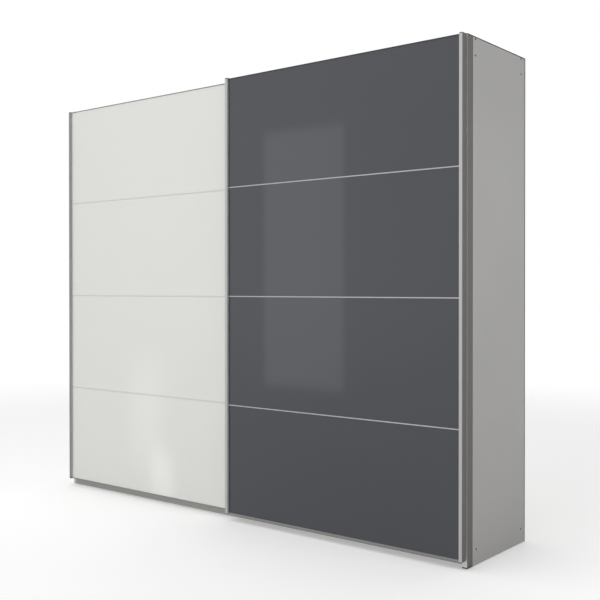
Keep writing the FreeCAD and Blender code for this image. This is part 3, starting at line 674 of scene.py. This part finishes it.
def back_nails():
    """Flat nails that hold the back sheets to the top, base and stretcher boards."""
    nail = barrel("back_nail", 2.6 * MM, 0.5 * MM, 16)
    select_faces(nail, lambda middle, normal: normal.z > POINTING)
    bpy.ops.mesh.inset(thickness=0.7 * MM, depth=0)
    bpy.ops.transform.translate(value=(0, 0, 0.2 * MM))
    object_mode()
    spots = []
    for number in FOUR:
        low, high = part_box(f"back_sheet_{number}")
        gap = (high.x - low.x - 2 * NAIL_INSET) / (NAILS_IN_ROW - 1)
        spots += [(low.x + NAIL_INSET + step * gap, high.y, level)
                  for level in NAIL_LEVELS for step in range(NAILS_IN_ROW)]
    spread("back_nails", nail, spots, (0, 1, 0), "carcass", "steel", FINISHES["steel"])
    discard(nail)


# ---------------------------------------------------------------- everything else

def trim_and_rails():
    # The trim's face is lightened as painted light, and its flanks darkened as painted shade.
    trim = finished("side_trim", 0.8 * MM, TRIM_FACE_PAINTED_LIGHT)
    dress_faces(trim, FLANK_PAINTED_SHADE, flank)
    finished("side_trim_caps", 0.6 * MM)
    finished("running_rail", 0.35 * MM)
    finished("guide_rail", 0.5 * MM)


def fittings():
    for node in ("rail_end_plates", "end_stops", "hanging_rail_left", "hanging_rail_right",
                 "hanging_rail_supports", "shelf_pins", "floor_glides", "back_joint_strips",
                 "front_door_carriages", "rear_door_carriages",
                 "front_door_guide_shoes", "rear_door_guide_shoes"):
        finished(node, 0.4 * MM)
    for number in FOUR:
        finished(f"back_sheet_{number}", 0.3 * MM)


boards()
stiles()
cross_profiles()
facings()
dust_brush()
wheels()
fixings()
connector_bolts()
back_nails()
trim_and_rails()
fittings()


# ---------------------------------------------------------------- stage, light, camera

FLOOR_SIZE = 80
FLOOR_NEAR, FLOOR_FAR = 2.2, 9.0   # from where to where the floor turns into glowing white
FLOOR_TONE, FLOOR_GLOW = 0.90, 0.30


def floor():
    """A pale floor that turns into the white of the backdrop with distance."""
    bpy.ops.mesh.primitive_plane_add(size=FLOOR_SIZE, location=(0, 0, LOW.z))
    plane = bpy.context.object
    plane.name = "studio_floor"
    plane.visible_glossy = False
    paper = Finish("studio_floor", Roughness=0.95, Specular_IOR_Level=0.05)
    distance = paper.tree.nodes.new("ShaderNodeVectorMath")
    distance.operation = "LENGTH"
    paper.join(paper.place, distance, 0)
    far = paper.tree.nodes.new("ShaderNodeMapRange")
    far.interpolation_type = "SMOOTHERSTEP"
    far.inputs["From Min"].default_value = FLOOR_NEAR
    far.inputs["From Max"].default_value = FLOOR_FAR
    paper.join(distance.outputs["Value"], far, "Value")
    paper.colour(paper.ramp(far.outputs["Result"], [(0, [FLOOR_TONE] * 3), (1, (0, 0, 0))]))
    paper.shader.inputs["Emission Color"].default_value = (1, 1, 1, 1)
    glow = paper.tree.nodes.new("ShaderNodeMapRange")
    glow.inputs["To Min"].default_value = FLOOR_GLOW
    paper.join(far.outputs["Result"], glow, "Value")
    paper.join(glow.outputs["Result"], paper.shader, "Emission Strength")
    dress(plane, paper.material)


class Sky:
    """The studio round the wardrobe: how bright it is in each direction."""

    def __init__(self):
        world = bpy.data.worlds.new("studio")
        scene.world = world
        world.use_nodes = True
        self.tree = world.node_tree
        parts = self.tree.nodes.new("ShaderNodeSeparateXYZ")
        self.tree.links.new(self.tree.nodes.new("ShaderNodeTexCoord").outputs["Generated"],
                            parts.inputs[0])
        self.across, self.along, self.up = parts.outputs

    def calculate(self, operation, first, second):
        node = self.tree.nodes.new("ShaderNodeMath")
        node.operation = operation
        for socket, value in zip(node.inputs, (first, second)):
            if isinstance(value, (int, float)):
                socket.default_value = value
            else:
                self.tree.links.new(value, socket)
        return node.outputs[0]

    def rise(self, value, start, end, low=0.0, high=1.0):
        """A smooth step from low at start to high at end."""
        node = self.tree.nodes.new("ShaderNodeMapRange")
        node.interpolation_type = "SMOOTHSTEP"
        for socket, number in (("From Min", start), ("From Max", end), ("To Min", low), ("To Max", high)):
            node.inputs[socket].default_value = number
        self.tree.links.new(value, node.inputs["Value"])
        return node.outputs["Result"]

    def band(self, value, low, high, soft):
        return self.calculate("MULTIPLY", self.rise(value, low - soft, low),
                              self.rise(value, high, high + soft, 1.0, 0.0))

    def panel(self, across, up, gain):
        """A soft light panel in front of the wardrobe, between slopes across and up."""
        ahead = self.calculate("MAXIMUM", self.calculate("MULTIPLY", self.along, -1), 0.05)
        return self.calculate("MULTIPLY", gain, self.calculate(
            "MULTIPLY", self.band(self.calculate("DIVIDE", self.across, ahead), *across),
            self.band(self.calculate("DIVIDE", self.up, ahead), *up)))


# Soft light panels in front of the wardrobe: slopes across and up as (low, high, softness), and a gain.
PANELS = (((-0.8240, -0.7059, 0.016), (-0.125, 0.205, 0.020), 0.48),
          ((-1.085, -1.060, 0.045), (-0.235, -0.160, 0.09), 0.75),
          ((-1.043, -1.032, 0.035), (-0.300, -0.280, 0.05), 1.60))
# How the even studio falls off: from one direction to another, and the light at each.
FALL_RIGHT = (-0.16, 0.60, 0.82, 0.14)
FALL_LEFT = (-0.86, -0.70, 0.55, 1.0)
FALL_BELOW = (-0.25, 0.02, 0.66, 1.0)


def world():
    """A white backdrop, and an even studio that falls off to the far left, the right and below."""
    sky = Sky()
    light = sky.calculate("MULTIPLY", sky.rise(sky.across, *FALL_RIGHT), sky.rise(sky.across, *FALL_LEFT))
    light = sky.calculate("MULTIPLY", light, sky.rise(sky.up, *FALL_BELOW))
    for across, up, gain in PANELS:
        light = sky.calculate("ADD", light, sky.panel(across, up, gain))
    colour = sky.tree.nodes.new("ShaderNodeCombineColor")
    for channel in colour.inputs:
        sky.tree.links.new(light, channel)
    seen = sky.tree.nodes.new("ShaderNodeMix")
    seen.data_type = "RGBA"
    seen.inputs["B"].default_value = (1, 1, 1, 1)
    sky.tree.links.new(sky.tree.nodes.new("ShaderNodeLightPath").outputs["Is Camera Ray"],
                       seen.inputs["Factor"])
    sky.tree.links.new(colour.outputs[0], seen.inputs["A"])
    sky.tree.links.new(seen.outputs["Result"], sky.tree.nodes["Background"].inputs["Color"])


SOFT_BOXES = (                     # name, place, aim, size, power
    ("front_fill", (-1.2, -7.0, 2.6), (-0.2, -0.3, 1.2), (6.0, 4.0), 62),
    ("right_fill", (3.5, 0.0, 1.7), (1.36, 0.05, 1.35), (1.0, 1.0), 9),
    ("ceiling", (-0.5, -2.0, 6.5), (-0.5, -2.0, 0), (7.0, 6.0), 90))


def soft_box(name, place, aim, size, power):
    """An area light that lights the wardrobe and does not show in its gloss."""
    light = bpy.data.lights.new(name, "AREA")
    light.shape = "RECTANGLE"
    light.size, light.size_y = size
    light.energy = power
    box = bpy.data.objects.new(name, light)
    scene.collection.objects.link(box)
    box.location = place
    box.rotation_euler = (Vector(aim) - Vector(place)).to_track_quat("-Z", "Y").to_euler()
    box.visible_glossy = False


SENSOR_WIDTH, LENS = 36, 55.81
SHIFT = (0.0633, -0.0089)
EYE = (1.8813, -3.5800, 1.2107)    # from the carcass's lower front right corner
PITCH, ROLL, YAW = -0.00716, 0.00058, 0.69667


def camera():
    lens = bpy.data.cameras.new("view")
    lens.sensor_width = SENSOR_WIDTH
    lens.lens = LENS
    lens.shift_x, lens.shift_y = SHIFT
    eye = bpy.data.objects.new("view", lens)
    scene.collection.objects.link(eye)
    eye.location = Vector((HIGH.x, LOW.y, LOW.z)) + Vector(EYE)
    eye.rotation_euler = (math.pi / 2 + PITCH, ROLL, YAW)
    scene.camera = eye


floor()
world()
for soft in SOFT_BOXES:
    soft_box(*soft)
camera()
scene.view_settings.view_transform = "Standard"
